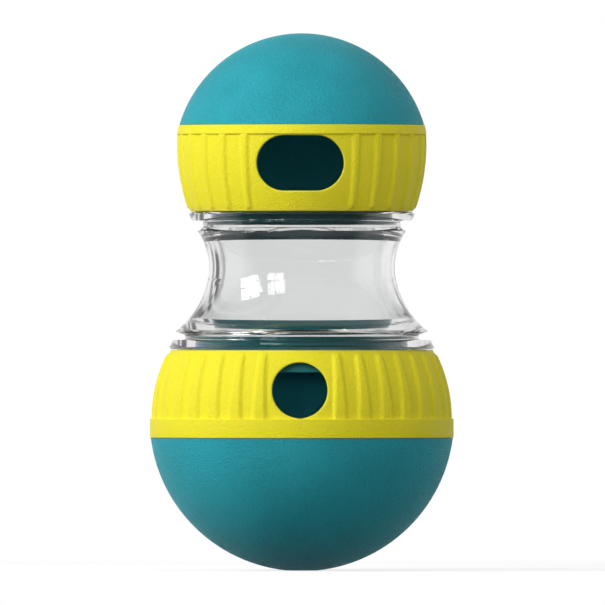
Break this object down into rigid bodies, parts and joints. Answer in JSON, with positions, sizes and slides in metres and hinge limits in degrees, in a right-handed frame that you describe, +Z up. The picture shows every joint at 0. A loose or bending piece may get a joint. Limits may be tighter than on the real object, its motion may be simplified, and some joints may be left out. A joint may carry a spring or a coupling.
{
  "type": "treat dispensing toy",
  "caption": "Two-ball tumbler toy with a clear waist that stores kibble, ribbed collars with an outlet in each ball, twist shutters behind them and a weighted bottom.",
  "frame": {"origin": "centre of the small flat foot, at the bottom of the lower ball", "axes": "+Z up along the turning axis, -Y towards the side with both outlets, +X to the right of them"},
  "size_m": [0.0961, 0.096, 0.17],
  "materials": {
    "teal_shell": "matte",
    "yellow_shell": "matte",
    "clear_plastic": "gloss",
    "silicone": "satin",
    "steel": "satin"
  },
  "bodies": {
    "base": {"lower_dome": "teal_shell", "lower_shutter": "teal_shell", "lower_dome_screws": "steel", "lower_friction_ring": "silicone", "ballast_weight": "steel", "ballast_gasket": "silicone", "ballast_cover": "teal_shell", "ballast_screws": "steel"},
    "lower_collar": {"lower_collar": "yellow_shell"},
    "lower_seal": {"lower_seal": "silicone"},
    "waist": {"waist": "clear_plastic", "lower_adapter": "teal_shell", "upper_adapter": "teal_shell"},
    "upper_seal": {"upper_seal": "silicone"},
    "upper_collar": {"upper_collar": "yellow_shell"},
    "upper_cap": {"upper_dome": "teal_shell", "upper_shutter": "teal_shell", "upper_dome_screws": "steel", "upper_friction_ring": "silicone"}
  },
  "joints": [
    {"name": "lower_twist", "type": "hinge", "parent": "base", "child": "lower_collar", "pos_m": [0, 0, 0.05], "axis": [0, 0, 1], "range_deg": [0, 60]},
    {"name": "lower_unscrew", "type": "hinge", "parent": "lower_collar", "child": "lower_seal", "pos_m": [0, 0, 0.0697], "axis": [0, 0, 1], "range_deg": [0, 160]},
    {"name": "lower_lift", "type": "slide", "parent": "lower_seal", "child": "waist", "axis": [0, 0, 1], "range_m": [0, 0.004]},
    {"name": "upper_lift", "type": "slide", "parent": "waist", "child": "upper_seal", "axis": [0, 0, 1], "range_m": [0, 0.004]},
    {"name": "upper_unscrew", "type": "hinge", "parent": "upper_seal", "child": "upper_collar", "pos_m": [0, 0, 0.1137], "axis": [0, 0, 1], "range_deg": [0, 160]},
    {"name": "upper_twist", "type": "hinge", "parent": "upper_collar", "child": "upper_cap", "pos_m": [0, 0, 0.14], "axis": [0, 0, 1], "range_deg": [0, 60]}
  ],
  "couplings": [
    {"joint": "lower_lift", "follows": "lower_unscrew", "m_per_rad": 0.0014324},
    {"joint": "upper_lift", "follows": "upper_unscrew", "m_per_rad": 0.0014324}
  ]
}
